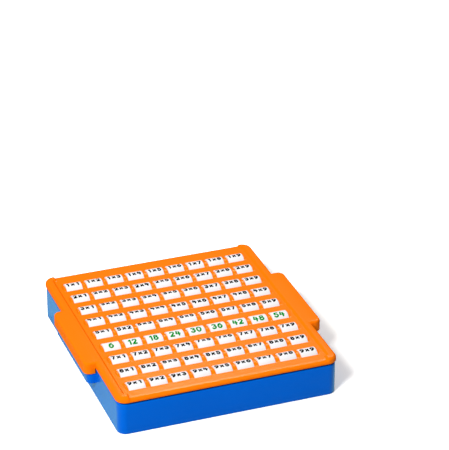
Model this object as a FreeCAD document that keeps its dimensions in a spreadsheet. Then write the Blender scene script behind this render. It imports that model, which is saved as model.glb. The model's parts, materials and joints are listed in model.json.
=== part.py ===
"""Multiplication board: nine rows of nine turning dials that stand up through the windows of a moulded
cover, which closes on a tray with two finger handles.

Millimetres. X runs along a row of dials, Y from the front edge to the back, and Z is up. The origin is at
the middle of the underside, on the table.
"""
import FreeCAD, Part
import math
import os
from types import SimpleNamespace

import Sketcher

doc = FreeCAD.newDocument("multiplication_board")

SIZES = {
    # the grid of dials, which stands a little nearer the front than the middle of the board
    "column_count": 9,
    "row_count": 9,
    "column_pitch": 26.0,
    "row_pitch": 30.0,
    "grid_shift": 1.75,
    # one dial and the way it sits in its window
    "dial_radius": 11.7,
    "dial_width": 20.0,
    "dial_rise": 3.8,
    "dial_side_gap": 0.3,
    "window_gap": 0.4,
    "rod_radius": 2.0,
    "dial_flats": 16,
    "bore_gap": 0.05,
    "bore_flats": 4,
    # the moulded cover
    "plate_height": 46.4,
    "plate_wall": 2.2,
    "side_border": 16.0,
    "end_border": 13.25,
    "corner_round": 12.0,
    "plate_edge_round": 3.0,
    "skirt_depth": 5.6,
    "skirt_wall": 2.2,
    # the arches that stand between the dials of a row
    "arch_rise": 1.8,
    "arch_length": 14.2,
    "cheek_width": 2.4,
    "cut_margin": 1.8,
    # the raised rails along both sides, which turn in at the corners
    "rail_rise": 2.4,
    "rail_width": 8.7,
    "rail_slope": 2.65,
    "rail_round": 4.0,
    "rail_return": 0.7,
    "rail_skin": 2.4,
    "rail_hollow_inset": 18.0,
    # the two handles
    "handle_reach": 13.0,
    "handle_length": 128.0,
    "handle_drop": 12.0,
    "handle_round": 8.0,
    "handle_edge_bevel": 2.0,
    "handle_overlap": 4.0,
    "handle_wall": 2.2,
    "handle_gap": 0.3,
    # what carries the rods
    "rib_wall": 2.4,
    "rib_step": 3,
    "rib_margin": 4.0,
    "rib_drop": 1.8,
    "seat_gap": 0.1,
    "rod_end_gap": 0.15,
    # the tray
    "tray_inset": 1.0,
    "tray_wall": 3.0,
    "tray_floor": 2.4,
    "groove_height": 1.6,
    "lip_gap": 0.3,
    "lip_height": 3.2,
    "shoulder_bevel": 0.8,
    "foot_bevel": 1.3,
    "ledge_inset": 3.5,
    "ledge_depth": 13.2,
    "ledge_wall": 2.2,
    "post_rows": 3,
    "post_inset_side": 9.5,
    "post_inset_end": 11.0,
    "post_width": 7.0,
}

# the round of a rail, in degrees from level, where its section has corners
RAIL_TURNS = (0, 30, 60, 90)
# an arch's corners, as shares of its length and its rise
ARCH_CORNERS = ((-0.5, 0), (0.5, 0), (0.25, 0.75), (0, 1), (-0.25, 0.75))
# lengths nearer than this are the same, and a feature that changes less volume than this has failed
SAME_LENGTH = 0.001
LEAST_VOLUME = 0.01
# an upright edge of a pad is longer than this
SHORT_EDGE = 1.0


class Size:
    """A length that knows its number and the expression that takes it from the sheet."""

    def __init__(self, number, text):
        self.number = number
        self.text = text

    def joined(self, sign, other, number):
        return Size(number, f"({self.text} {sign} {sized(other).text})")

    def __add__(self, other):
        return self.joined("+", other, self.number + sized(other).number)

    def __sub__(self, other):
        return self.joined("-", other, self.number - sized(other).number)

    def __mul__(self, other):
        return self.joined("*", other, self.number * sized(other).number)

    def __truediv__(self, other):
        return self.joined("/", other, self.number / sized(other).number)

    def __rmul__(self, other):
        return sized(other) * self

    def __neg__(self):
        return sized(0) - self

    def root(self):
        return Size(math.sqrt(self.number), f"sqrt({self.text})")


def sized(value):
    """A Size as it is, and a plain number as a Size."""
    return value if isinstance(value, Size) else Size(float(value), str(value))


def make_sheet():
    """Write every driving size into the sheet, and return the sizes by name."""
    sheet = doc.addObject("Spreadsheet::Sheet", "sizes")
    for line, (alias, number) in enumerate(SIZES.items(), start=1):
        sheet.set(f"A{line}", alias)
        sheet.set(f"B{line}", str(number))
        sheet.setAlias(f"B{line}", alias)
    doc.recompute()
    return SimpleNamespace(**{alias: Size(number, f"sizes.{alias}") for alias, number in SIZES.items()})


size = make_sheet()

# plan: half sizes of the cover and the tray, and the dials nearest the front left corner
half_x = size.column_count * size.column_pitch / 2 + size.side_border
half_y = size.row_count * size.row_pitch / 2 + size.end_border
tray_half_x = half_x - size.tray_inset
tray_half_y = half_y - size.tray_inset
first_column = size.column_pitch * (sized(1) - size.column_count) / 2
first_row = size.row_pitch * (sized(1) - size.row_count) / 2 - size.grid_shift
window_width = size.dial_width + size.dial_side_gap * 2
handle_x = half_x + size.handle_reach
handle_half = size.handle_length / 2

# heights above the table
plate_under = size.plate_height - size.plate_wall
skirt_foot = size.plate_height - size.skirt_depth
rail_top = size.plate_height + size.rail_rise
axis_z = size.plate_height + size.dial_rise - size.dial_radius
handle_foot = size.plate_height - size.handle_drop
shoulder_z = skirt_foot - size.groove_height
ledge_top = handle_foot - size.handle_gap

# posts: where the first stands, and the steps to the others
post_x = half_x - size.post_inset_side
post_y = half_y - size.post_inset_end
post_steps = [("X_Axis", post_x * 2, sized(2)), ("Y_Axis", post_y * 2 / (size.post_rows - 1), size.post_rows)]

# ribs: where the first stands, and the step to the next
first_rib = size.column_count * size.column_pitch / -2
rib_spacing = size.column_pitch * size.rib_step
rib_count = size.column_count / size.rib_step + 1
rib_half = size.row_count * size.row_pitch / 2 - size.rib_margin
rod_length = first_rib * -2


def new_body(name):
    body = doc.addObject("PartDesign::Body", name)
    body.Label = name
    return body


def origin_of(body, role):
    return next(item for item in body.Origin.OriginFeatures if item.Role == role)


def new_sketch(body, name, role, offset):
    """A sketch on an origin plane of the body, moved along the plane's normal."""
    sketch = body.newObject("Sketcher::SketchObject", name)
    sketch.AttachmentSupport = [(origin_of(body, role), "")]
    sketch.MapMode = "FlatFace"
    sketch.setExpression("AttachmentOffset.Base.z", sized(offset).text)
    return sketch


def bind(sketch, constraint, length):
    """Add a constraint whose value follows the sheet."""
    index = sketch.addConstraint(constraint)
    sketch.setExpression(f"Constraints[{index}]", sized(length).text)


def hold(sketch, item, end, u, v):
    """Fix a point of the sketch at u across and v up from its origin."""
    bind(sketch, Sketcher.Constraint("DistanceX", -1, 1, item, end, sized(u).number), u)
    bind(sketch, Sketcher.Constraint("DistanceY", -1, 1, item, end, sized(v).number), v)


def flat(u, v):
    return FreeCAD.Vector(sized(u).number, sized(v).number, 0)


def draw_outline(sketch, corners, closed=True):
    """Straight lines from corner to corner."""
    ends = corners[1:] + corners[:1] if closed else corners[1:]
    items = [sketch.addGeometry(Part.LineSegment(flat(*a), flat(*b))) for a, b in zip(corners, ends)]
    for item, corner in zip(items, corners):
        hold(sketch, item, 1, *corner)
    for item, after in zip(items, items[1:]):
        sketch.addConstraint(Sketcher.Constraint("Coincident", item, 2, after, 1))
    if closed:
        sketch.addConstraint(Sketcher.Constraint("Coincident", items[-1], 2, items[0], 1))
    else:
        hold(sketch, items[-1], 2, *corners[-1])


def draw_arc(sketch, u, v, radius, start, end):
    """An arc about (u, v) from the angle start to the angle end, in degrees."""
    circle = Part.Circle(flat(u, v), FreeCAD.Vector(0, 0, 1), radius.number)
    return sketch.addGeometry(Part.ArcOfCircle(circle, math.radians(start), math.radians(end)))


def draw_rounded(sketch, across, up, radius):
    """A rectangle about the origin with four round corners, from its half sizes."""
    inner_u, inner_v = across - radius, up - radius
    sides = [
        ((-inner_u, -up), (inner_u, -up)),
        ((across, -inner_v), (across, inner_v)),
        ((inner_u, up), (-inner_u, up)),
        ((-across, inner_v), (-across, -inner_v)),
    ]
    centres = [(inner_u, -inner_v), (inner_u, inner_v), (-inner_u, inner_v), (-inner_u, -inner_v)]
    lines = [sketch.addGeometry(Part.LineSegment(flat(*a), flat(*b))) for a, b in sides]
    arcs = [draw_arc(sketch, *centre, radius, 90 * turn - 90, 90 * turn) for turn, centre in enumerate(centres)]
    for turn in range(4):
        sketch.addConstraint(Sketcher.Constraint("Tangent", lines[turn], 2, arcs[turn], 1))
        sketch.addConstraint(Sketcher.Constraint("Tangent", arcs[turn], 2, lines[(turn + 1) % 4], 1))
        sketch.addConstraint(Sketcher.Constraint(("Horizontal", "Vertical")[turn % 2], lines[turn]))
    for arc in arcs[1:]:
        sketch.addConstraint(Sketcher.Constraint("Equal", arcs[0], arc))
    bind(sketch, Sketcher.Constraint("Radius", arcs[0], radius.number), radius)
    hold(sketch, arcs[1], 3, inner_u, inner_v)
    sketch.addConstraint(Sketcher.Constraint("Symmetric", arcs[1], 3, arcs[3], 3, -1, 1))


def rectangle(left, right, low, high):
    return [(left, low), (right, low), (right, high), (left, high)]


def both_sides(inner, outer, half):
    """A rectangle on the right of the board and its mirror image on the left."""
    return rectangle(inner, outer, -half, half), rectangle(-outer, -inner, -half, half)


def extrude(body, kind, sketch, name, length, upward=True, symmetric=False):
    """Add (Pad) or remove (Pocket) what the sketch covers, and check that it did."""
    feature = body.newObject(f"PartDesign::{kind}", name)
    feature.Profile = sketch
    feature.setExpression("Length", length.text)
    if symmetric:
        feature.SideType = "Symmetric"
    else:
        feature.Reversed = upward if kind == "Pocket" else not upward
    before = volume_of(feature.BaseFeature)
    doc.recompute()
    change = feature.Shape.Volume - before
    if (change > 0) != (kind == "Pad") or abs(change) < LEAST_VOLUME:
        raise ValueError(f"{body.Label}: {name} changes nothing")
    return feature


def volume_of(feature):
    return feature.Shape.Volume if feature else 0


def repeat(body, originals, name, steps):
    """Copies of features along one or more axes, each given as (axis, spacing, count)."""
    copies = body.newObject("PartDesign::MultiTransform", name)
    copies.Originals = originals
    patterns = []
    for role, spacing, count in steps:
        pattern = body.newObject("PartDesign::LinearPattern", f"{name}Along{role[0]}")
        pattern.Direction = (origin_of(body, role), [""])
        pattern.Mode = "Spacing"
        pattern.setExpression("Offset", spacing.text)
        pattern.setExpression("Occurrences", count.text)
        patterns.append(pattern)
    copies.Transformations = patterns
    body.Tip = copies
    doc.recompute()


def round_edges(body, name, radius, chosen):
    """Fillet the edges of the body's tip for which chosen(edge) holds."""
    base = body.Tip
    names = [f"Edge{number}" for number, edge in enumerate(base.Shape.Edges, start=1) if chosen(edge)]
    fillet = body.newObject("PartDesign::Fillet", name)
    fillet.Base = (base, names)
    fillet.setExpression("Radius", radius.text)
    doc.recompute()


def bevel_edges(body, name, width, chosen):
    """Chamfer the edges of the body's tip for which chosen(edge) holds."""
    base = body.Tip
    names = [f"Edge{number}" for number, edge in enumerate(base.Shape.Edges, start=1) if chosen(edge)]
    chamfer = body.newObject("PartDesign::Chamfer", name)
    chamfer.Base = (base, names)
    chamfer.setExpression("Size", width.text)
    doc.recompute()


def level_at(height):
    """A test for edges that lie flat at one height."""
    return lambda edge: all(abs(corner.Z - height.number) < SAME_LENGTH for corner in edge.Vertexes)


def upright_at(distance):
    """A test for upright edges at one distance from the middle of the board."""

    def chosen(edge):
        box = edge.BoundBox
        outside = all(abs(abs(corner.X) - distance.number) < SAME_LENGTH for corner in edge.Vertexes)
        return outside and box.ZMax - box.ZMin > SHORT_EDGE

    return chosen


def cover_plate(body):
    """The slab that the cover is cut from: its flat top, its skirt and its rounded upper edge."""
    outline = new_sketch(body, "PlateOutline", "XY_Plane", skirt_foot)
    draw_rounded(outline, half_x, half_y, size.corner_round)
    extrude(body, "Pad", outline, "Plate", size.skirt_depth)
    round_edges(body, "PlateEdge", size.plate_edge_round, level_at(size.plate_height))


def cover_handles(body):
    """The two handles, as high as the rails, with rounded outer corners and upper edges."""
    outline = new_sketch(body, "HandleOutline", "XY_Plane", handle_foot)
    for corners in both_sides(half_x - size.rail_round - size.handle_overlap, handle_x, handle_half):
        draw_outline(outline, corners)
    extrude(body, "Pad", outline, "Handles", rail_top - handle_foot)
    round_edges(body, "HandleCorners", size.handle_round, upright_at(handle_x))
    bevel_edges(body, "HandleEdges", size.handle_edge_bevel, level_at(rail_top))
    clearance = new_sketch(body, "TrayClearance", "XY_Plane", handle_foot)
    inner = half_x + size.handle_gap
    draw_outline(clearance, rectangle(-inner, inner, -handle_half, handle_half))
    extrude(body, "Pocket", clearance, "TraySpace", skirt_foot - handle_foot)


def cover_rails(body):
    """The raised rail: a section swept along one side and round the corner, and mirrored both ways."""
    inner_top = half_x - size.rail_width
    inner_foot = inner_top - size.rail_slope
    section = new_sketch(body, "RailSection", "XZ_Plane", 0)
    bend_x, bend_z = half_x - size.rail_round, rail_top - size.rail_round
    turns = [math.radians(angle) for angle in RAIL_TURNS]
    across = [bend_x + size.rail_round * math.cos(turn) for turn in turns]
    up = [bend_z + size.rail_round * math.sin(turn) for turn in turns]
    slope = [(inner_top, rail_top), (inner_foot, size.plate_height)]
    foot = [(inner_foot, skirt_foot), (half_x, skirt_foot)]
    draw_outline(section, list(zip(across, up)) + slope + foot)

    path = new_sketch(body, "RailPath", "XY_Plane", 0)
    turn_x, turn_y = half_x - size.corner_round, half_y - size.corner_round
    side = path.addGeometry(Part.LineSegment(flat(half_x, 0), flat(half_x, -turn_y)))
    corner = draw_arc(path, turn_x, -turn_y, size.corner_round, -90, 0)
    front = path.addGeometry(Part.LineSegment(flat(turn_x, -half_y), flat(turn_x - size.rail_return, -half_y)))
    path.addConstraint(Sketcher.Constraint("Coincident", side, 2, corner, 2))
    path.addConstraint(Sketcher.Constraint("Coincident", front, 1, corner, 1))
    hold(path, side, 1, half_x, 0)
    hold(path, side, 2, half_x, -turn_y)
    hold(path, front, 1, turn_x, -half_y)
    hold(path, front, 2, turn_x - size.rail_return, -half_y)
    bind(path, Sketcher.Constraint("Radius", corner, size.corner_round.number), size.corner_round)

    rail = body.newObject("PartDesign::AdditivePipe", "Rail")
    rail.Profile = section
    rail.Spine = (path, [f"Edge{number}" for number in (1, 2, 3)])
    doc.recompute()
    rails = body.newObject("PartDesign::MultiTransform", "Rails")
    rails.Originals = [rail]
    mirrors = []
    for role in ("YZ_Plane", "XZ_Plane"):
        mirror = body.newObject("PartDesign::Mirrored", f"Mirror{role[:2]}")
        mirror.MirrorPlane = (origin_of(body, role), [""])
        mirrors.append(mirror)
    rails.Transformations = mirrors
    body.Tip = rails
    doc.recompute()


def cover_hollows(body):
    """The underside: one hollow under the plate, and deeper ones under the rails and the handles."""
    under = new_sketch(body, "PlateHollow", "XY_Plane", skirt_foot)
    wall = size.skirt_wall
    draw_rounded(under, half_x - wall, half_y - wall, size.corner_round - wall)
    extrude(body, "Pocket", under, "UnderPlate", plate_under - skirt_foot)
    under = new_sketch(body, "RailHollow", "XY_Plane", skirt_foot)
    inner = half_x - size.rail_width + size.rail_skin
    for corners in both_sides(inner, half_x - wall, half_y - size.rail_hollow_inset):
        draw_outline(under, corners)
    extrude(body, "Pocket", under, "UnderRails", rail_top - size.rail_skin - skirt_foot)
    under = new_sketch(body, "HandleHollow", "XY_Plane", handle_foot)
    for corners in both_sides(half_x, handle_x - size.handle_wall, handle_half - size.handle_wall):
        draw_outline(under, corners)
    extrude(body, "Pocket", under, "UnderHandles", rail_top - size.rail_skin - handle_foot)


def cover_arches(body):
    """One bar per row with an arched top, which the windows then cut into arches between the dials."""
    section = new_sketch(body, "ArchSection", "YZ_Plane", 0)
    corners = [
        (first_row + size.arch_length * along, size.plate_height + size.arch_rise * up)
        for along, up in ARCH_CORNERS
    ]
    draw_outline(section, corners)
    length = size.column_pitch * (size.column_count - 1) + window_width + size.cheek_width * 2
    bar = extrude(body, "Pad", section, "ArchBar", length, symmetric=True)
    repeat(body, [bar], "ArchBars", [("Y_Axis", size.row_pitch, size.row_count)])


def cover_ribs(body):
    """Four ribs under the plate, whose notches sit over the rods."""
    outline = new_sketch(body, "RibOutline", "XY_Plane", plate_under)
    half_wall = size.rib_wall / 2
    draw_outline(outline, rectangle(first_rib - half_wall, first_rib + half_wall, -rib_half, rib_half))
    rib = extrude(body, "Pad", outline, "BearingRib", plate_under - axis_z + size.rib_drop, upward=False)
    repeat(body, [rib], "BearingRibs", [("X_Axis", rib_spacing, rib_count)])


def window_reach(level):
    """How far a window's wall stands from the dial's axis at one height."""
    radius, rise = size.dial_radius + size.window_gap, level - axis_z
    return (radius * radius - rise * rise).root()


def cover_openings(body):
    """The windows over the dials, whose walls lean out to clear the drums, and the notches for the rods."""
    outline = new_sketch(body, "WindowOutline", "YZ_Plane", first_column)
    top = window_reach(size.plate_height)
    foot = window_reach(plate_under)
    above = size.plate_height + size.arch_rise + size.cut_margin
    levels = [(foot, plate_under), (top, size.plate_height), (top, above)]
    right = [(first_row + reach, level) for reach, level in levels]
    left = [(first_row - reach, level) for reach, level in levels]
    draw_outline(outline, right + left[::-1])
    window = extrude(body, "Pocket", outline, "Window", window_width, symmetric=True)
    grid = [("X_Axis", size.column_pitch, size.column_count), ("Y_Axis", size.row_pitch, size.row_count)]
    repeat(body, [window], "Windows", grid)
    outline = new_sketch(body, "NotchOutline", "YZ_Plane", 0)
    half_slot = size.rod_radius + size.bore_gap
    low, high = axis_z - size.rib_drop - size.cut_margin, axis_z + size.rod_radius + size.seat_gap
    draw_outline(outline, rectangle(first_row - half_slot, first_row + half_slot, low, high))
    length = rod_length + size.rod_end_gap * 2
    notch = extrude(body, "Pocket", outline, "Notch", length, symmetric=True)
    repeat(body, [notch], "Notches", [("Y_Axis", size.row_pitch, size.row_count)])


def build_cover():
    body = new_body("top_cover")
    cover_plate(body)
    cover_handles(body)
    cover_rails(body)
    cover_hollows(body)
    cover_arches(body)
    cover_ribs(body)
    cover_openings(body)
    return body


def tray_shell(body):
    """The tray's outer form with its shoulder, the lip inside the cover's skirt, and the ledges."""
    outline = new_sketch(body, "TrayOutline", "XY_Plane", 0)
    draw_rounded(outline, tray_half_x, tray_half_y, size.corner_round - size.tray_inset)
    extrude(body, "Pad", outline, "Tray", shoulder_z)
    bevel_edges(body, "Shoulder", size.shoulder_bevel, level_at(shoulder_z))
    bevel_edges(body, "Foot", size.foot_bevel, level_at(sized(0)))
    outline = new_sketch(body, "LedgeOutline", "XY_Plane", ledge_top)
    outer, half = handle_x - size.ledge_inset, handle_half - size.tray_inset
    for corners in both_sides(tray_half_x - size.tray_wall / 2, outer, half):
        draw_outline(outline, corners)
    extrude(body, "Pad", outline, "Ledges", size.ledge_depth, upward=False)
    round_edges(body, "LedgeCorners", size.handle_round - size.tray_inset, upright_at(outer))
    outline = new_sketch(body, "LedgeHollow", "XY_Plane", ledge_top)
    for corners in both_sides(tray_half_x, outer - size.ledge_wall, half - size.ledge_wall):
        draw_outline(outline, corners)
    extrude(body, "Pocket", outline, "LedgeSpace", size.ledge_depth - size.ledge_wall, upward=False)
    inset = size.skirt_wall + size.lip_gap
    outline = new_sketch(body, "LipOutline", "XY_Plane", shoulder_z)
    draw_rounded(outline, half_x - inset, half_y - inset, size.corner_round - inset)
    extrude(body, "Pad", outline, "Lip", size.lip_height)
    outline = new_sketch(body, "TrayHollow", "XY_Plane", size.tray_floor)
    wall = size.tray_inset + size.tray_wall
    draw_rounded(outline, half_x - wall, half_y - wall, size.corner_round - wall)
    extrude(body, "Pocket", outline, "TraySpace", shoulder_z + size.lip_height - size.tray_floor)


def tray_supports(body):
    """The ribs that keep the rods in their notches, and the posts that the cover's plate rests on."""
    outline = new_sketch(body, "KeeperOutline", "XY_Plane", size.tray_floor)
    half_wall = size.rib_wall / 2
    draw_outline(outline, rectangle(first_rib - half_wall, first_rib + half_wall, -rib_half, rib_half))
    keeper = extrude(body, "Pad", outline, "Keeper", axis_z - size.rod_radius - size.seat_gap - size.tray_floor)
    repeat(body, [keeper], "Keepers", [("X_Axis", rib_spacing, rib_count)])
    outline = new_sketch(body, "PostOutline", "XY_Plane", size.tray_floor)
    half = size.post_width / 2
    draw_outline(outline, rectangle(-post_x - half, half - post_x, -post_y - half, half - post_y))
    post = extrude(body, "Pad", outline, "Post", plate_under - size.tray_floor)
    repeat(body, [post], "Posts", post_steps)


def build_tray():
    body = new_body("base_tray")
    tray_shell(body)
    tray_supports(body)
    return body


def row_middle(number):
    """Where a row's axis lies along Y: the first row is at the back."""
    return first_row + size.row_pitch * (size.row_count - number)


def build_dial_row(number):
    """The drums of one row, each with a square bore that rides on the row's round rod."""
    body = new_body(f"dial_row_{number}")
    start = first_column - size.dial_width / 2
    drum = body.newObject("PartDesign::AdditivePrism", "Drum")
    bore = body.newObject("PartDesign::SubtractivePrism", "Bore")
    for item in (drum, bore):
        item.AttachmentSupport = [(origin_of(body, "YZ_Plane"), "")]
        item.MapMode = "FlatFace"
        item.setExpression("AttachmentOffset.Base.z", start.text)
        item.setExpression("Height", size.dial_width.text)
    drum.setExpression("Polygon", size.dial_flats.text)
    drum.setExpression("Circumradius", size.dial_radius.text)
    bore.setExpression("Polygon", size.bore_flats.text)
    half_flat = size.rod_radius + size.bore_gap
    bore.setExpression("Circumradius", f"{half_flat.text} / cos(180 deg / {size.bore_flats.text})")
    doc.recompute()
    repeat(body, [drum, bore], "Dials", [("X_Axis", size.column_pitch, size.column_count)])
    row_y = row_middle(number)
    body.setExpression("Placement.Base.y", row_y.text)
    body.setExpression("Placement.Base.z", axis_z.text)
    return body


def build_rod(number):
    """The round rod that a row of dials turns on."""
    rod = doc.addObject("Part::Cylinder", f"axle_rod_{number}")
    rod.Label = f"axle_rod_{number}"
    rod.setExpression("Radius", size.rod_radius.text)
    rod.setExpression("Height", rod_length.text)
    rod.Placement = FreeCAD.Placement(FreeCAD.Vector(), FreeCAD.Rotation(FreeCAD.Vector(0, 1, 0), 90))
    row_y = row_middle(number)
    rod.setExpression("Placement.Base.x", (rod_length / -2).text)
    rod.setExpression("Placement.Base.y", row_y.text)
    rod.setExpression("Placement.Base.z", axis_z.text)
    return rod


def build_all():
    """Every sub-part, each of which becomes one file."""
    numbers = range(1, SIZES["row_count"] + 1)
    dials = [build_dial_row(number) for number in numbers]
    rods = [build_rod(number) for number in numbers]
    return [build_cover(), build_tray(), *dials, *rods]


def check(parts):
    """Stop if any object failed to build or any sub-part has no sound solid."""
    failed = [item.Label for item in doc.Objects if "Invalid" in item.State or "Error" in item.State]
    if failed:
        raise ValueError(f"not built: {failed}")
    for part in parts:
        if part.Shape.isNull() or not part.Shape.isValid() or not part.Shape.Solids:
            raise ValueError(f"{part.Label} has no valid solid")


parts = build_all()
doc.recompute()
check(parts)
os.makedirs("parts", exist_ok=True)
for part in parts:
    part.Shape.exportStep(f"parts/{part.Label}.step")
    box = part.Shape.BoundBox
    print(f"{part.Label}: {len(part.Shape.Solids)} solid(s), {part.Shape.Volume:.0f} mm3, "
          f"{box.XLength:.1f} x {box.YLength:.1f} x {box.ZLength:.1f} mm")
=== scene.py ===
# %% [markdown]
# # A multiplication board
#
# The board is a moulded orange cover over a blue tray. Nine rows of nine white dials stand in the
# cover's windows. Each dial turns: one side of it has a fact such as 7 x 8, and the other side has
# the answer. The solids come first, as a fixed frame. The visible surfaces are then worked out as
# arrays of points, and each finish is a small tree of shader nodes.

import json
import bmesh
import bpy
import numpy as np
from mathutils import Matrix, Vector

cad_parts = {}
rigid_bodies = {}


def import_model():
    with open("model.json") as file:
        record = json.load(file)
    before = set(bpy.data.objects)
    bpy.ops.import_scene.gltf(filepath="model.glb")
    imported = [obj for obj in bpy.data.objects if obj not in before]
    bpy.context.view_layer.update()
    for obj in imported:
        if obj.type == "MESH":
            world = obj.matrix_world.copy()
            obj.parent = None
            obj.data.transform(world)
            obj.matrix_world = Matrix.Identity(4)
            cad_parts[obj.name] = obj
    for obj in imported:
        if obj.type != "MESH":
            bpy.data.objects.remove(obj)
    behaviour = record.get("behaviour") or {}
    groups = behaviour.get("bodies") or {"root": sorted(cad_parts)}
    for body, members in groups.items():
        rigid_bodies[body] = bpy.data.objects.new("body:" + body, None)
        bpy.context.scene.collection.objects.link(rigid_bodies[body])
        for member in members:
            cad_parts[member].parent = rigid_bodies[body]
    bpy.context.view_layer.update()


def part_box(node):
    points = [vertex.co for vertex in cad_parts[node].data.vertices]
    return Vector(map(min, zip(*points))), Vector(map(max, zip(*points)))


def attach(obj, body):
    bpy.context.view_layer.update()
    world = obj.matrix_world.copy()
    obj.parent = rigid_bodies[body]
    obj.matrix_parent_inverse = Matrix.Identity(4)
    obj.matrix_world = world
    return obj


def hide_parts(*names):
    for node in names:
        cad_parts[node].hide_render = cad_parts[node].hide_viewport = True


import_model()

# %% [markdown]
# ## Points into meshes
#
# A moulding is a skin of smooth patches. Each patch is a grid of points, worked out in one go as an
# array, so that no step visits the points one by one. Patches that meet share the points on their
# common edge, and merging those points closes the skin.

# %% Grids of points and closed skins
MM = 0.001
MERGE = 0.004 * MM


def cells_of(rows, columns):
    """The four corners of every cell of a grid, as places in its flat list of points."""
    at = np.arange(rows * columns).reshape(rows, columns)
    corners = [at[:-1, :-1], at[:-1, 1:], at[1:, 1:], at[1:, :-1]]
    return np.stack(corners, axis=-1).reshape(-1, 4)


def skin(name, patches, sharp=35.0):
    """A closed mesh from patches of points, each (..., rows, columns, 3), in millimetres.

    A patch may come with a mask of the cells to keep. The cells of the patches in a stack are those
    of its first patch, moved on by a patch's points each time. Edges past an angle stay sharp.
    """
    points, faces, start = [], [], 0
    for patch in patches:
        grid, keep = patch if isinstance(patch, tuple) else (patch, None)
        rows, columns = grid.shape[-3:-1]
        stack = grid.reshape(-1, rows * columns, 3)
        cells = cells_of(rows, columns)
        if keep is not None:
            cells = cells[keep.reshape(-1)]
        steps = start + np.arange(len(stack))[:, None, None] * rows * columns
        faces.append((cells[None] + steps).reshape(-1, 4))
        points.append(stack.reshape(-1, 3))
        start += stack.shape[0] * stack.shape[1]
    mesh = bpy.data.meshes.new(name)
    places = (np.concatenate(points) * MM).tolist()
    mesh.from_pydata(places, [], np.concatenate(faces).tolist())
    soft = bmesh.new()
    soft.from_mesh(mesh)
    bmesh.ops.remove_doubles(soft, verts=soft.verts, dist=MERGE)
    bmesh.ops.recalc_face_normals(soft, faces=soft.faces)
    open_edges = sum(1 for edge in soft.edges if len(edge.link_faces) != 2)
    soft.to_mesh(mesh)
    soft.free()
    mesh.shade_smooth()
    mesh.set_sharp_from_angle(angle=np.radians(sharp))
    thing = bpy.data.objects.new(name, mesh)
    bpy.context.scene.collection.objects.link(thing)
    print(name, "faces", len(mesh.polygons), "open edges", open_edges)
    return thing


def bevelled(thing, width, angle=40.0):
    """Small rounded edges, two steps wide, wherever two faces meet at more than an angle."""
    edge = thing.modifiers.new("worn_edges", "BEVEL")
    edge.width = width * MM
    edge.segments = 2
    edge.limit_method = "ANGLE"
    edge.angle_limit = np.radians(angle)
    edge.harden_normals = True
    return thing


def capped(grid):
    """A tube's grid closed at both ends: its first and last rows are drawn in to their middles."""
    first = np.broadcast_to(grid[:1].mean(axis=1, keepdims=True), grid[:1].shape)
    last = np.broadcast_to(grid[-1:].mean(axis=1, keepdims=True), grid[-1:].shape)
    return np.concatenate([first, grid, last])


def looped(grid, axis=0):
    """A grid whose first line is repeated at its end, so that the surface closes on itself."""
    return np.concatenate([grid, np.take(grid, [0], axis=axis)], axis=axis)


def arc(start, end, steps):
    """Cosines and sines of angles in degrees from start to end, as two arrays."""
    turn = np.radians(np.linspace(start, end, steps))
    return np.cos(turn), np.sin(turn)


# %% [markdown]
# ## Sizes
#
# The boxes of the solids tell how far out the handles and the ledges reach. What a box can't tell,
# such as the pitch of the windows or the height of the plate under the rails, is written down once
# in millimetres, here or beside the piece that it belongs to.

# %% Sizes of the board
cover_low, cover_high = (np.array(corner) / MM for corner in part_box("top_cover"))
tray_low, tray_high = (np.array(corner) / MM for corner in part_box("base_tray"))
print("cover", cover_low.round(2), cover_high.round(2))
print("tray", tray_low.round(2), tray_high.round(2))

# nine windows each way, in a grid that stands a little nearer the front edge
COUNT, COLUMN_PITCH, ROW_PITCH, ROW_SHIFT = 9, 26.0, 30.0, -1.75
columns_at = (np.arange(COUNT) - COUNT // 2) * COLUMN_PITCH
rows_at = (np.arange(COUNT) - COUNT // 2) * ROW_PITCH + ROW_SHIFT
# the cover from above: half its sides without the handles, and the round of its corners
HALF_X, HALF_Y, CORNER = 133.0, 148.25, 12.0
inner_x, inner_y = HALF_X - CORNER, HALF_Y - CORNER
# heights over the table: the plate's top and underside, the skirt's foot and the rails' top
PLATE, UNDER, SKIRT_FOOT, RAIL_TOP = 46.4, 44.2, 41.4, 48.8
print("columns", columns_at, "rows", rows_at)

# %% [markdown]
# ## The moulded cover
#
# The real cover is one thin moulding. Its plate is pierced by 81 windows, and between two windows
# of a row the plate rises into a low arch that follows the dials. It could be cut out of a block
# with booleans, but those leave long thin faces that shade badly. Here the plate is a grid whose
# lines run along every window's edges. The cells over the windows are left out, and short walls go
# down from their edges to the same grid on the underside.

# %% Lines of the plate's grid
# half a window across, and half of it along at the plate's top and, clear of a dial, its underside
WINDOW_HALF, WINDOW_TOP, WINDOW_UNDER = 10.3, 9.165, 10.78
# half an arch's length, its rise, and where the arched bars end
ARCH_HALF, ARCH_RISE, BAR_END, BAR_STEP = 7.1, 1.8, 116.7, 0.5
# where the rails' ends have no height yet, and where they have all of it
RAIL_FADE, RAIL_END = 118.4, 120.3


def spread(middles, offsets):
    """Every offset set out around every middle, in rising order."""
    return np.unique(np.round((middles[:, None] + offsets[None, :]).ravel(), 4))


rail_ends = np.linspace(RAIL_FADE, RAIL_END, 4)
ends_x = np.concatenate([[BAR_END, BAR_END + BAR_STEP], rail_ends, [inner_x]])
window_sides = spread(columns_at, np.array([-WINDOW_HALF, WINDOW_HALF]))
lines_x = np.unique(np.concatenate([-ends_x, window_sides, ends_x]))
arch_lines = ARCH_HALF * np.sin(np.radians(np.linspace(-90, 90, 13)))
row_lines = np.concatenate([[-WINDOW_TOP], arch_lines, [WINDOW_TOP]])
lines_y = np.concatenate([[-inner_y], spread(rows_at, row_lines), [inner_y]])
from_row = lines_y - rows_at[np.argmin(np.abs(lines_y[:, None] - rows_at), axis=1)]
print("grid of", len(lines_x), "by", len(lines_y), "lines")


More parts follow.
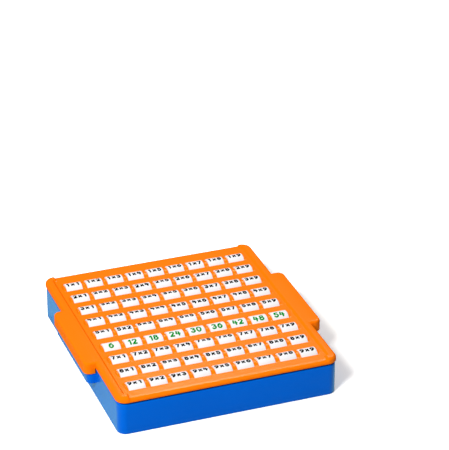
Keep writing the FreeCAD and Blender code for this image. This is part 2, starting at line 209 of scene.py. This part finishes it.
# %% Plate with arches and windows
def arch_height(offset):
    """Height of a circle's arc over its chord, from the distance to its middle; nought outside it.

    The radius is the sum of the squares of half the chord and of the rise, over twice the rise.
    """
    radius = (ARCH_HALF ** 2 + ARCH_RISE ** 2) / (2 * ARCH_RISE)
    inside = np.sqrt(np.maximum(radius ** 2 - offset ** 2, 0)) - (radius - ARCH_RISE)
    return np.where(np.abs(offset) < ARCH_HALF, np.maximum(inside, 0), 0)


def plate_grids(near=0.01):
    """Upper grid: the plate's height plus the arches over the rows.

    Lower grid: flat, with the lines in a window moved along Y in the ratio of its two lengths.
    """
    along_x, along_y = np.meshgrid(lines_x, lines_y)
    bar = (np.abs(lines_x) <= BAR_END)[None, :]
    arches = arch_height(from_row)[:, None] * bar
    upper = np.stack([along_x, along_y, PLATE + arches], axis=-1)
    in_window = np.abs(from_row) <= WINDOW_TOP + near
    wider = np.where(in_window, from_row * (WINDOW_UNDER / WINDOW_TOP - 1), 0)
    lower = np.stack([along_x, along_y + wider[:, None], np.full_like(along_x, UNDER)], axis=-1)
    return upper, lower


upper, lower = plate_grids()
middle_x = (lines_x[:-1] + lines_x[1:]) / 2
middle_y = (lines_y[:-1] + lines_y[1:]) / 2
over_x = np.min(np.abs(middle_x[:, None] - columns_at), axis=1) < WINDOW_HALF
over_y = np.min(np.abs(middle_y[:, None] - rows_at), axis=1) < WINDOW_TOP
window_cells = over_y[:, None] & over_x[None, :]


def window_walls():
    """Walls between the two grids: along both sides of each window, and across its two ends."""
    first_x = np.flatnonzero(over_x)
    start_y = np.flatnonzero(over_y & ~np.roll(over_y, 1))
    count = int(over_y.sum() // COUNT)
    rows = start_y[:, None] + np.arange(count + 1)
    pair = np.stack([upper, lower])
    sides = [np.moveaxis(pair[:, rows][:, :, :, first_x + step], (0, 2), (-3, -2))
             for step in (0, 1)]
    ends = []
    for line in (start_y, start_y + count):
        edge = pair[:, line][:, :, np.stack([first_x, first_x + 1])]
        ends.append(np.moveaxis(edge, (0, 2), (-3, -2)))
    return sides + ends


walls = window_walls()
print("window cells", int(window_cells.sum()), "walls", [wall.shape for wall in walls])

# %% [markdown]
# ## Rails, skirt and handles
#
# Along both sides the cover has a raised rail that turns round the corners and ends on the front
# and back in a short slope. All round, a rounded edge runs down into a short skirt. A profile
# carried round the outline gives all of it: at each place along the outline the profile is a mix
# of the plain one and the railed one. The handles are hollow shells as high as the rails.

# %% Outline of a rounded rectangle
def outline(half_x, half_y, radius, along_x, along_y, steps=10):
    """Places round a rounded rectangle, and the way straight out from each.

    A place on a side lies on the rectangle through the corner circles' middles. A place on a corner
    is the circle's middle, and the way out from it turns by a share of 90 degrees each step.
    """
    inner = np.array([half_x - radius, half_y - radius])
    front, right = ((1, 0), (0, -1), along_x), ((0, 1), (1, 0), along_y)
    back, left = ((-1, 0), (0, 1), along_x), ((0, -1), (-1, 0), along_y)
    bases, outs = [], []
    for turn, (way, out, lines) in enumerate((front, right, back, left)):
        way, out = np.array(way), np.array(out)
        bases.append(lines[:, None] * way + out * inner)
        outs.append(np.broadcast_to(out, (len(lines), 2)))
        across, up = arc(90 * turn - 90, 90 * turn, steps + 1)
        bases.append(np.broadcast_to((way + out) * inner, (steps - 1, 2)))
        outs.append(np.stack([across, up], axis=-1)[1:-1])
    return np.concatenate(bases), np.concatenate(outs)


def carried(path, reach, height):
    """A closed band: each place's base, moved out by its reach, at its height."""
    base, out = path
    flat = base[:, None, :] + out[:, None, :] * reach[..., None]
    level = np.broadcast_to(height, reach.shape)[..., None]
    return looped(np.concatenate([flat, level], axis=-1))


# %% Border band of the cover
# depths from the outer face: the foot of the rail's slope, the start of its flat, and a line on it
RAIL_FOOT, RAIL_FLAT, RAIL_MIDDLE = 11.3, 8.7, 6.5
RAIL_ROUND, PLATE_ROUND, SKIRT_WALL, SOFT = 4.0, 3.0, 2.2, 0.4


def edge_profile(rail):
    """Depth from the outer face and height: plate, slope, flat, quarter round, skirt, underside.

    The slope's height grows evenly from its foot to the flat. The round's depth is its radius less
    the radius times the cosine, and its height is its middle's plus the radius times the sine.
    """
    rounding = RAIL_ROUND if rail else PLATE_ROUND
    top = RAIL_TOP if rail else PLATE
    slope = np.linspace(RAIL_FOOT, RAIL_FLAT, 4)
    rise = PLATE + (top - PLATE) * (RAIL_FOOT - slope) / (RAIL_FOOT - RAIL_FLAT)
    across, up = arc(90, 0, 9)
    skirt_depth = [0, SOFT, SKIRT_WALL - SOFT, SKIRT_WALL, SKIRT_WALL, CORNER]
    skirt_height = [SKIRT_FOOT + SOFT, SKIRT_FOOT, SKIRT_FOOT, SKIRT_FOOT + SOFT, UNDER, UNDER]
    depth = [[CORNER], slope, [RAIL_MIDDLE], rounding - rounding * across, skirt_depth]
    height = [[PLATE], rise, [top], top - rounding + rounding * up, skirt_height]
    return np.concatenate(depth), np.concatenate(height)


cover_path = outline(HALF_X, HALF_Y, CORNER, lines_x, lines_y)
from_middle = np.abs(cover_path[0][:, :1])
railed = np.clip((from_middle - RAIL_FADE) / (RAIL_END - RAIL_FADE), 0, 1)
plain_depth, plain_height = edge_profile(False)
rail_depth, rail_height = edge_profile(True)
depth = plain_depth + railed * (rail_depth - plain_depth)
height = plain_height + railed * (rail_height - plain_height)
border = carried(cover_path, CORNER - depth, height)
print("border band", border.shape)


# %% Shelves on the sides
def shelf_path(inner, outer, half, radius, leaves):
    """An open path round a shelf on the right side, and the way out from each of its places.

    It runs out along the shelf's end, on a quarter circle round its corner, and back the same way
    with Y turned over. A place where it leaves the board's side lets the wall change there.
    """
    across, up = arc(-90, 0, 9)
    ends = np.array([inner, leaves, leaves])
    lead = np.stack([ends, np.full(3, -half)], axis=-1)
    turn = np.stack([outer - radius + radius * across, radius - half + radius * up], axis=-1)
    first = np.concatenate([lead, turn])
    out = np.concatenate([np.tile([0.0, -1.0], (3, 1)), np.stack([across, up], axis=-1)])
    flip = np.array([1.0, -1.0])
    return np.concatenate([first, first[::-1] * flip]), np.concatenate([out, out[::-1] * flip])


def shelf(path, inward, height, root, root_heights):
    """A closed shell along a path: a wall's profile, and two faces drawn in to a line at one X."""
    place, out = path
    flat = place[:, None, :] - out[:, None, :] * inward[None, :, None]
    wall = np.concatenate([flat, height[..., None]], axis=-1)
    back = [np.stack([np.full(len(place), root), wall[:, column, 1], np.full(len(place), level)],
                     axis=-1)
            for column, level in zip((-1, 0), root_heights)]
    return capped(looped(np.concatenate([wall, np.stack(back, axis=1)], axis=1), axis=1))


# %% Handles, and the cover in one piece
HANDLE_ROOT, HANDLE_HALF, HANDLE_CORNER = 129.0, 64.0, 8.0
HANDLE_FOOT, HANDLE_EDGE, HANDLE_SKIN, HANDLE_GAP = 34.4, 2.6, 2.4, 0.3
WORN_EDGE = 0.25


def handle_grid():
    """Handle: from the hollow down its inner wall, round the foot, up the outer wall to a flat top.

    The upper edge is a quarter circle. Where the path runs inside the cover's outline, the wall
    stops at the skirt's foot, clear of the tray.
    """
    path = shelf_path(HANDLE_ROOT, cover_high[0], HANDLE_HALF, HANDLE_CORNER, HALF_X + HANDLE_GAP)
    across, up = arc(0, 90, 6)
    hollow = RAIL_TOP - HANDLE_SKIN
    foot_inward = [SKIRT_WALL, SKIRT_WALL, SKIRT_WALL - SOFT, SOFT, 0.0]
    foot_level = [hollow, HANDLE_FOOT + SOFT, HANDLE_FOOT, HANDLE_FOOT, HANDLE_FOOT + SOFT]
    inward = np.concatenate([foot_inward, HANDLE_EDGE - HANDLE_EDGE * across])
    level = np.concatenate([foot_level, RAIL_TOP - HANDLE_EDGE + HANDLE_EDGE * up])
    height = np.broadcast_to(level, (len(path[0]), len(level))).copy()
    inside = [0, 1, -2, -1]
    height[inside] = np.maximum(height[inside], SKIRT_FOOT)
    return shelf(path, inward, height, HANDLE_ROOT, (RAIL_TOP, hollow))


handle = handle_grid()
mirror = np.array([-1.0, 1.0, 1.0])
plates = [(upper, ~window_cells), (lower, ~window_cells)]
cover = skin("cover_moulding", [*plates, *walls, border, handle, handle * mirror])
bevelled(cover, WORN_EDGE)
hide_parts("top_cover")
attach(cover, "board")

# %% [markdown]
# ## The blue tray
#
# The tray is a deep box with rounded corners. It stands a millimetre inside the cover's skirt, and
# a narrow groove parts the two. One profile carried round the outline gives its outer wall, the
# shoulder, the lip that goes up inside the skirt, and the inner wall. Two flat sheets close the
# bottom and the floor. A ledge under each handle is a shell like the handle itself.

# %% Walls of the tray
TRAY_INSET, FOOT_ROUND, SHOULDER_ROUND = 1.0, 1.3, 2.0
# depths from the tray's face: the lip's outer side, the inner wall, and the inner edge of the band
LIP_DEPTH, WALL_DEPTH, BAND_DEPTH = 3.6, 4.1, CORNER - TRAY_INSET
WALL_LINES, SHOULDER, LIP_TOP, TRAY_FLOOR = [12, 25], 39.2, 42.4, 2.4


def tray_profile():
    """Depth from the outer face and height: bottom, foot, wall, shoulder, lip, inner wall, floor.

    The foot and the shoulder are quarter circles: a middle plus the radius times cosine and sine.
    """
    foot_x, foot_z = arc(270, 180, 6)
    top_x, top_z = arc(180, 90, 6)
    depth = [
        [BAND_DEPTH], FOOT_ROUND + FOOT_ROUND * foot_x, [0, 0],
        SHOULDER_ROUND + SHOULDER_ROUND * top_x,
        [LIP_DEPTH, LIP_DEPTH, WALL_DEPTH, WALL_DEPTH, BAND_DEPTH]]
    height = [
        [0.0], FOOT_ROUND + FOOT_ROUND * foot_z, WALL_LINES,
        SHOULDER - SHOULDER_ROUND + SHOULDER_ROUND * top_z,
        [SHOULDER, LIP_TOP, LIP_TOP, TRAY_FLOOR, TRAY_FLOOR]]
    return np.concatenate(depth), np.concatenate(height)


floor_x, floor_y = np.linspace(-inner_x, inner_x, 5), np.linspace(-inner_y, inner_y, 5)
tray_path = outline(HALF_X - TRAY_INSET, HALF_Y - TRAY_INSET, BAND_DEPTH, floor_x, floor_y)
tray_depth, tray_height = tray_profile()
tray_reach = np.tile(BAND_DEPTH - tray_depth, (len(tray_path[0]), 1))
tray_band = carried(tray_path, tray_reach, tray_height)
sheet_x, sheet_y = np.meshgrid(floor_x, floor_y)
bottom = np.stack([sheet_x, sheet_y, np.zeros_like(sheet_x)], axis=-1)
floor_sheet = bottom + np.array([0.0, 0.0, TRAY_FLOOR])
print("tray band", tray_band.shape, "sheets", bottom.shape)

# %% Ledges, and the tray in one piece
LEDGE_ROOT, LEDGE_HALF, LEDGE_CORNER, LEDGE_LEAVES = 130.5, 63.0, 7.0, 134.0
LEDGE_FOOT, LEDGE_TOP, LEDGE_WALL, LEDGE_EDGE, LEDGE_SOFT = 20.9, 34.1, 2.2, 1.0, 0.3


def ledge_grid():
    """Ledge under a handle: a quarter circle, the outer wall, its rim, and down into its trough."""
    path = shelf_path(LEDGE_ROOT, tray_high[0], LEDGE_HALF, LEDGE_CORNER, LEDGE_LEAVES)
    across, up = arc(270, 180, 5)
    trough = LEDGE_FOOT + LEDGE_WALL
    rim_inward = [0.0, LEDGE_SOFT, LEDGE_WALL - LEDGE_SOFT, LEDGE_WALL, LEDGE_WALL]
    rim_level = [LEDGE_TOP - LEDGE_SOFT, LEDGE_TOP, LEDGE_TOP, LEDGE_TOP - LEDGE_SOFT, trough]
    inward = np.concatenate([LEDGE_EDGE + LEDGE_EDGE * across, rim_inward])
    level = np.concatenate([LEDGE_FOOT + LEDGE_EDGE + LEDGE_EDGE * up, rim_level])
    height = np.broadcast_to(level, (len(path[0]), len(level)))
    return shelf(path, inward, height, LEDGE_ROOT, (trough, LEDGE_FOOT))


ledge = ledge_grid()
tray = skin("tray_moulding", [tray_band, bottom, floor_sheet, ledge, ledge * mirror])
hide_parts("base_tray")
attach(tray, "board")

# %% [markdown]
# ## The dials
#
# A dial is a short drum that turns on its row's rod. A profile of width and radius is turned about
# the axis, with a small round where the rim meets the end. The same grid set down nine times makes
# a row, and each row is one piece, because the row's joint turns them together. The rods are hidden
# by the plate, so they stay as the frame has them and only get a finish of drawn steel.

# %% Nine drums per row
# height of the rods' axes, a dial's radius and half its width, and how far the print stands proud
AXIS, DIAL_RADIUS, DIAL_HALF, INK = 38.5, 11.7, 10.0, 0.03
BORE_RADIUS, RIM_ROUND = 2.05, 0.6


def drum_grid(steps=40):
    """A profile of place along the axis and radius, turned once round the X axis.

    Y is the radius times the sine of the turn, and Z is the radius times its cosine. The profile
    goes from the bore over one end and the rim to the bore at the other end, and closes through it.
    """
    across, up = arc(0, 90, 4)
    rim = DIAL_RADIUS - INK
    place = np.concatenate([[DIAL_HALF], DIAL_HALF - RIM_ROUND + RIM_ROUND * across, [0.0]])
    radius = np.concatenate([[BORE_RADIUS], rim - RIM_ROUND + RIM_ROUND * up, [rim]])
    place = np.concatenate([place, -place[-2::-1]])
    radius = np.concatenate([radius, radius[-2::-1]])
    turn = np.linspace(0, 2 * np.pi, steps + 1)[:, None]
    along = np.broadcast_to(place, (steps + 1, len(place)))
    grid = np.stack([along, radius * np.sin(turn), radius * np.cos(turn)], axis=-1)
    return looped(grid, axis=1)


drum = drum_grid()
# row 1 is at the back, row 9 at the front
row_places = {number: rows_at[COUNT - number] for number in range(1, COUNT + 1)}
for number, place_y in row_places.items():
    middles = np.stack([columns_at, np.full(COUNT, place_y), np.full(COUNT, AXIS)], axis=-1)
    row = skin(f"dials_of_row_{number}", [drum[None] + middles[:, None, None, :]])
    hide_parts(f"dial_row_{number}")
    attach(row, f"dials_{number}")

# %% [markdown]
# ## The print on the dials
#
# The figures are round-ended strokes of one width, like careful handwriting. Type could be bent
# round the drums, but a stroke worked out from its centre line keeps its width everywhere. Each
# figure is a few arcs and lines in a box one high. A stroke becomes a ribbon, the ribbon is wrapped
# round the drum, and it stands a few hundredths of a millimetre proud, like thick ink.

# %% Centre lines of the figures
def bow(middle_x, middle_y, reach_x, reach_y, start, end, steps=14):
    """Part of an ellipse, from one angle to another: middle plus reach times cosine and sine."""
    across, up = arc(start, end, steps)
    return np.stack([middle_x + reach_x * across, middle_y + reach_y * up], axis=-1)


def line(*corners):
    """Straight runs from corner to corner, each with a point at every fifth of its length."""
    corners = np.array(corners, dtype=float)
    shares = np.linspace(0, 1, 6)[:-1, None]
    runs = [start + (end - start) * shares for start, end in zip(corners, corners[1:])]
    return np.concatenate(runs + [corners[-1:]])


swan = np.concatenate([bow(0.29, 0.7, 0.29, 0.3, 165, -35), line((0.5, 0.48), (0.02, 0.0))])
six = np.concatenate([
    bow(0.62, 0.34, 0.62, 0.66, 100, 176, 8), bow(0.31, 0.31, 0.31, 0.31, 172, 530, 24)])
FIGURES = {
    "0": [bow(0.33, 0.5, 0.33, 0.5, 90, 450, 26)],
    "1": [line((0.0, 0.76), (0.24, 1.0)), line((0.24, 1.0), (0.24, 0.0))],
    "2": [swan, line((0.02, 0.0), (0.6, 0.0))],
    "3": [bow(0.27, 0.76, 0.27, 0.24, 150, -90, 14), bow(0.27, 0.26, 0.31, 0.26, 90, -150, 16)],
    "4": [line((0.14, 1.0), (0.0, 0.36)), line((0.0, 0.36), (0.64, 0.36)),
          line((0.47, 0.76), (0.47, 0.0))],
    "5": [line((0.1, 1.0), (0.56, 1.0)), line((0.1, 1.0), (0.06, 0.56)),
          bow(0.28, 0.31, 0.31, 0.31, 128, -150, 16)],
    "6": [six],
    "7": [line((0.0, 1.0), (0.6, 1.0)), line((0.6, 1.0), (0.2, 0.0))],
    "8": [bow(0.31, 0.76, 0.25, 0.24, 90, 450, 18), bow(0.31, 0.26, 0.31, 0.26, 90, 450, 20)],
    "9": [np.array([0.62, 1.0]) - six],
    "x": [line((0.0, 0.08), (0.54, 0.66)), line((0.0, 0.66), (0.54, 0.08))],
}
print("figures", len(FIGURES), "strokes", sum(len(strokes) for strokes in FIGURES.values()))


# %% Strokes as ribbons round the drum
def ribbon(centre, pen, steps=4):
    """A strip along a centre line: two edges at half a pen's width on either side of it.

    Each end is a half circle: the width shrinks with the cosine as the spine runs on with the sine.
    """
    way = np.gradient(centre, axis=0)
    way /= np.linalg.norm(way, axis=1, keepdims=True)
    side = np.stack([-way[:, 1], way[:, 0]], axis=-1)
    shrink, push = arc(0, 90, steps + 1)
    tail = centre[0] - way[0] * pen * push[::-1, None]
    head = centre[-1] + way[-1] * pen * push[:, None]
    spine = np.concatenate([tail, centre[1:-1], head])
    starts, ends = np.tile(side[0], (steps + 1, 1)), np.tile(side[-1], (steps + 1, 1))
    normal = np.concatenate([starts, side[1:-1], ends])
    width = np.concatenate([shrink[::-1], np.ones(len(centre) - 2), shrink])[:, None] * pen
    return spine + normal * width, spine - normal * width


def inked(strip, place_x, place_y, turn):
    """A strip wrapped round a dial: across stays X, and up over the radius is an angle on the drum.

    Y and Z are the radius times the angle's sine and cosine. The ink's foot is inside the drum.
    """
    left, right = strip
    low, high = DIAL_RADIUS - 5 * INK, DIAL_RADIUS
    flat = np.stack([left, left, right, right], axis=1)
    radius = np.array([low, high, high, low])
    angle = np.radians(turn) + flat[..., 1] / DIAL_RADIUS
    across = place_x + flat[..., 0]
    along, height = place_y + radius * np.sin(angle), AXIS + radius * np.cos(angle)
    return looped(np.stack([across, along, height], axis=-1), axis=1)


def written(text, tall, pen, pitch, space=1.0):
    """Ribbons of a word's figures, centred on nought, for a height and half a pen's width.

    A pitch sets the figures out in even steps. Where it is nought, a space parts them.
    """
    stroke_tall = tall - 2 * pen
    figures = [[stroke * stroke_tall for stroke in FIGURES[sign]] for sign in text]
    widths = [max(stroke[:, 0].max() for stroke in strokes) for strokes in figures]
    gap = 2 * pen + space
    total = sum(widths) + gap * (len(text) - 1)
    strips, at = [], -total / 2
    for place, (strokes, width) in enumerate(zip(figures, widths)):
        left = (place - (len(text) - 1) / 2) * pitch - width / 2 if pitch else at
        corner = np.array([left, -stroke_tall / 2])
        strips += [ribbon(stroke + corner, pen) for stroke in strokes]
        at += width + gap
    return strips


# %% Facts and answers of every row
FACT_TALL, FACT_PEN, FACT_PITCH = 7.2, 0.95, 6.2
ANSWER_TALL, ANSWER_PEN, PRINT_SHIFT = 8.8, 1.0, -0.7
# turns in degrees from straight up: of most rows' facts, and of the answers that one row shows
FACT_TURN, ANSWER_TURN, HALF_TURN, SHOWS_ANSWERS = -1.0, -14.0, 180.0, 6
# no two dials stand quite alike, and in some columns of a row they are turned further back
LEAN, FURTHER = 3.0, 7.0
FURTHER_BACK = {
    2: (2, 3, 5), 3: (2, 3, 4, 5, 6), 4: (1, 2, 3, 4), 5: (1, 3, 4, 5), 7: (5, 6), 8: (3, 7),
    9: (7, 8)}
lean = np.random.default_rng(7).uniform(-LEAN, LEAN, (COUNT, COUNT))
for number, columns in FURTHER_BACK.items():
    lean[number - 1, np.array(columns) - 1] += FURTHER
for number, place_y in row_places.items():
    facts, answers = [], []
    for column in range(COUNT):
        turned = lean[number - 1, column]
        fact_at, answer_at = FACT_TURN + turned, FACT_TURN + HALF_TURN + turned
        if number == SHOWS_ANSWERS:
            fact_at, answer_at = ANSWER_TURN + HALF_TURN + turned / 2, ANSWER_TURN + turned / 2
        middle = columns_at[column] + PRINT_SHIFT
        for strip in written(f"{number}x{column + 1}", FACT_TALL, FACT_PEN, FACT_PITCH):
            facts.append(inked(strip, middle, place_y, fact_at))
        for strip in written(str(number * (column + 1)), ANSWER_TALL, ANSWER_PEN, 0):
            answers.append(inked(strip, middle, place_y, answer_at))
    for name, grids in (("facts", facts), ("answers", answers)):
        print_piece = skin(f"{name}_of_row_{number}", grids, sharp=60.0)
        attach(print_piece, f"dials_{number}")

# %% [markdown]
# ## Finishes
#
# Moulded plastic isn't one flat colour: it has a faint drift of tone from the flow in the mould, a
# fine grain from the mould's face, and a gloss that varies with it. The gloss is a tinted shine
# that grows towards grazing angles. A limit on it keeps the mouldings' colours full. One helper
# wraps a socket so that sums on it become Math nodes, and one function adds any other node.

# %% Nodes written as sums
class Wire:
    """The output of a node. A sum on wires adds a Math node."""

    def __init__(self, tree, socket):
        self.tree, self.socket = tree, socket

    def combine(self, operation, first, second):
        terms = {0: first, 1: second}
        return add_node(self.tree, "ShaderNodeMath", {"operation": operation}, terms)

    def __add__(self, other):
        return self.combine("ADD", self, other)

    def __sub__(self, other):
        return self.combine("SUBTRACT", self, other)

    def __rsub__(self, other):
        return self.combine("SUBTRACT", other, self)

    def __mul__(self, other):
        return self.combine("MULTIPLY", self, other)

    def at_most(self, limit):
        return self.combine("MINIMUM", self, limit)

    __radd__ = __add__
    __rmul__ = __mul__


def add_node(tree, kind, settings, inputs, output=0):
    """Any node: its settings are set first, then each socket gets a value or a wire."""
    node = tree.nodes.new(kind)
    for name, value in settings.items():
        setattr(node, name, value)
    for name, value in inputs.items():
        if isinstance(value, Wire):
            tree.links.new(value.socket, node.inputs[name])
        else:
            node.inputs[name].default_value = value
    return Wire(tree, node.outputs[output])


def mixed(tree, share, first, second):
    """A colour between two colours."""
    return add_node(
        tree, "ShaderNodeMix", {"data_type": "RGBA"}, {0: share, 6: first, 7: second}, output=2)


def new_finish(name):
    """A new material, and its tree with no nodes in it yet."""
    finish = bpy.data.materials.new(name)
    finish.use_nodes = True
    finish.node_tree.nodes.clear()
    return finish, finish.node_tree


def surface_of(tree, shader):
    """Send a shader to the output of its material."""
    end = tree.nodes.new("ShaderNodeOutputMaterial")
    tree.links.new(shader.socket, end.inputs["Surface"])


# %% Moulded plastic
PLASTIC_IOR, STRAIGHT_ON, GRAIN_DEPTH = 1.5, 0.04, 0.00001


def moulded(name, colour, paler, roughness, tint, rise, most, grain=1500.0):
    """Tone: broad noise between two colours. Grain: fine noise as bump, and a little in the gloss.

    The share of the shine is what Fresnel gives over its value straight on, times a rise, with a
    limit. The rest is the plastic's body, which has no shine of its own.
    """
    finish, tree = new_finish(name)
    place = add_node(tree, "ShaderNodeTexCoord", {}, {}, "Object")
    drift = add_node(tree, "ShaderNodeTexNoise", {}, {
        "Vector": place, "Scale": 16.0, "Detail": 3.0})
    fine = add_node(tree, "ShaderNodeTexNoise", {}, {
        "Vector": place, "Scale": grain, "Detail": 2.0})
    tone = mixed(tree, drift, (*colour, 1.0), (*paler, 1.0))
    gloss = roughness + (fine - 0.5) * 0.08 + (drift - 0.5) * 0.04
    bump = add_node(tree, "ShaderNodeBump", {}, {
        "Strength": 0.35, "Distance": GRAIN_DEPTH, "Height": fine})
    body = add_node(tree, "ShaderNodeBsdfPrincipled", {}, {
        "Base Color": tone, "Roughness": gloss, "Normal": bump, "Specular IOR Level": 0.0})
    shine = add_node(tree, "ShaderNodeBsdfAnisotropic", {}, {
        "Color": (*tint, 1.0), "Roughness": gloss, "Normal": bump})
    fresnel = add_node(tree, "ShaderNodeFresnel", {}, {"IOR": PLASTIC_IOR})
    share = ((fresnel - STRAIGHT_ON) * rise).at_most(most)
    surface_of(tree, add_node(tree, "ShaderNodeMixShader", {}, {0: share, 1: body, 2: shine}))
    return finish


NO_TINT = (1.0, 1.0, 1.0)
orange = moulded(
    "orange_moulding", colour=(1.0, 0.187, 0.001), paler=(1.0, 0.202, 0.003), roughness=0.19,
    tint=(1.0, 0.69, 0.52), rise=0.9, most=0.036)
blue = moulded(
    "blue_moulding", colour=(0.0, 0.122, 0.66), paler=(0.0, 0.139, 0.71), roughness=0.2,
    tint=(0.42, 0.93, 1.0), rise=2.8, most=0.43)
white = moulded(
    "white_dials", colour=(0.785, 0.795, 0.81), paler=(0.8, 0.81, 0.825), roughness=0.4,
    tint=NO_TINT, rise=0.4, most=0.03)
black_ink = moulded(
    "black_ink", colour=(0.005, 0.005, 0.006), paler=(0.01, 0.01, 0.011), roughness=0.5,
    tint=NO_TINT, rise=0.1, most=0.02, grain=3000.0)
green_ink = moulded(
    "green_ink", colour=(0.0, 0.23, 0.02), paler=(0.002, 0.26, 0.03), roughness=0.5,
    tint=NO_TINT, rise=0.1, most=0.02, grain=3000.0)


# %% Drawn steel
def drawn_steel():
    """Steel drawn through a die: fine noise stretched along the rod in tone, gloss and grain."""
    finish, tree = new_finish("drawn_steel")
    place = add_node(tree, "ShaderNodeTexCoord", {}, {}, "Object")
    along = add_node(tree, "ShaderNodeMapping", {}, {
        "Vector": place, "Scale": (20.0, 2400.0, 2400.0)})
    lines = add_node(tree, "ShaderNodeTexNoise", {}, {
        "Vector": along, "Scale": 1.0, "Detail": 3.0})
    tone = mixed(tree, lines, (0.5, 0.5, 0.51, 1.0), (0.66, 0.66, 0.67, 1.0))
    bump = add_node(tree, "ShaderNodeBump", {}, {
        "Strength": 0.3, "Distance": GRAIN_DEPTH, "Height": lines})
    shader = add_node(tree, "ShaderNodeBsdfPrincipled", {}, {
        "Base Color": tone, "Metallic": 1.0, "Roughness": 0.22 + lines * 0.16, "Normal": bump})
    surface_of(tree, shader)
    return finish


steel = drawn_steel()

# %% Put the finishes on
FINISH_OF = {
    "cover": orange, "top_cover": orange, "tray": blue, "base_tray": blue,
    "dials": white, "dial_row": white, "facts": black_ink, "answers": green_ink,
    "axle_rod": steel}
for thing in bpy.context.scene.objects:
    if thing.type == "MESH":
        coat = next(finish for start, finish in FINISH_OF.items() if thing.name.startswith(start))
        thing.data.materials.clear()
        thing.data.materials.append(coat)
print("finishes", [finish.name for finish in bpy.data.materials])

# %% [markdown]
# ## Floor, light and camera
#
# The board lies on a white table. A soft lamp at the front left lights the top and leaves the
# right-hand side in shade. A smaller wide one behind the board, on the right, gives the sheen on
# the cover's front edge, and a pale sky fills in. The table is mid grey for the light that it
# throws back on the board. For the camera it is so bright that it meets the white backdrop and
# still shows the soft shadow. The camera stands far off with a long lens, at the photo's angle.

# %% Floor
def floor_finish():
    """A faint noise in tone, between two greys or, for the camera, between two brighter tones."""
    finish, tree = new_finish("white_table")
    place = add_node(tree, "ShaderNodeTexCoord", {}, {}, "Object")
    noise = add_node(tree, "ShaderNodeTexNoise", {}, {"Vector": place, "Scale": 3.0})
    seen = add_node(tree, "ShaderNodeLightPath", {}, {}, "Is Camera Ray")
    tone = mixed(tree, noise, (0.52, 0.52, 0.52, 1.0), (0.54, 0.54, 0.54, 1.0))
    bright = mixed(tree, noise, (1.38, 1.36, 1.31, 1.0), (1.4, 1.38, 1.33, 1.0))
    board = add_node(tree, "ShaderNodeBsdfDiffuse", {}, {"Color": mixed(tree, seen, tone, bright)})
    surface_of(tree, board)
    return finish


TABLE_HALF, TABLE_LINES = 8000, 9
table_lines = np.linspace(-TABLE_HALF, TABLE_HALF, TABLE_LINES)
table_x, table_y = np.meshgrid(table_lines, table_lines)
table_points = np.stack([table_x, table_y, np.zeros_like(table_x)], axis=-1).reshape(-1, 3) * MM
table = bpy.data.meshes.new("table")
table.from_pydata(table_points.tolist(), [], cells_of(TABLE_LINES, TABLE_LINES).tolist())
floor = bpy.data.objects.new("table", table)
bpy.context.scene.collection.objects.link(floor)
floor.data.materials.append(floor_finish())
print("table faces", len(table.polygons))


# %% Sky
def pale_sky():
    """The world: white to the camera, and for other rays brighter overhead than at the horizon."""
    sky = bpy.data.worlds.new("pale_sky")
    sky.use_nodes = True
    tree = sky.node_tree
    tree.nodes.clear()
    seen = add_node(tree, "ShaderNodeLightPath", {}, {}, "Is Camera Ray")
    way = add_node(tree, "ShaderNodeTexCoord", {}, {}, "Generated")
    upward = add_node(tree, "ShaderNodeSeparateXYZ", {}, {"Vector": way}, "Z")
    overhead = add_node(tree, "ShaderNodeMapRange", {"interpolation_type": "SMOOTHSTEP"}, {
        "Value": upward, "From Min": 0.3, "From Max": 0.85, "To Min": 0.08, "To Max": 0.36})
    strength = overhead * (1 - seen) + seen
    light = add_node(tree, "ShaderNodeBackground", {}, {
        "Color": (1, 1, 1, 1), "Strength": strength})
    end = tree.nodes.new("ShaderNodeOutputWorld")
    tree.links.new(light.socket, end.inputs["Surface"])
    return sky


bpy.context.scene.world = pale_sky()

# %% Lamps
BOARD_MIDDLE = Vector((0, 0, 0.03))


def turned_to(way):
    """The turn that points a lamp or a camera along a way, with its top upwards."""
    return way.to_track_quat("-Z", "Y").to_euler()


def lamp(name, place, power, wide, high):
    """An area lamp of a given width and height, turned towards the middle of the board."""
    light = bpy.data.lights.new(name, "AREA")
    light.shape, light.energy = "RECTANGLE", power
    light.size, light.size_y = wide, high
    thing = bpy.data.objects.new(name, light)
    thing.location = place
    thing.rotation_euler = turned_to(BOARD_MIDDLE - Vector(place))
    bpy.context.scene.collection.objects.link(thing)
    print(name, "at", place, "watts", power)


lamp("key_lamp", (-1.35, -1.1, 1.7), power=60.0, wide=0.7, high=0.7)
lamp("sheen_lamp", (0.56, 0.885, 0.99), power=7.6, wide=0.7, high=0.2)

# %% Camera
AZIMUTH, ELEVATION = np.radians(-20.21), np.radians(27.82)
CAMERA_PLACE, LENS, SENSOR, FAR = (-0.7785, -2.24375, 1.4234), 185.9, 36.0, 50.0
level = np.cos(ELEVATION)
forward = (-np.sin(AZIMUTH) * level, np.cos(AZIMUTH) * level, -np.sin(ELEVATION))
camera_data = bpy.data.cameras.new("camera")
camera_data.lens, camera_data.sensor_width, camera_data.clip_end = LENS, SENSOR, FAR
camera = bpy.data.objects.new("camera", camera_data)
camera.location = CAMERA_PLACE
camera.rotation_euler = turned_to(Vector(forward))
bpy.context.scene.collection.objects.link(camera)
bpy.context.scene.camera = camera
bpy.context.scene.view_settings.view_transform = "Standard"
print("camera at", CAMERA_PLACE, "lens", LENS)
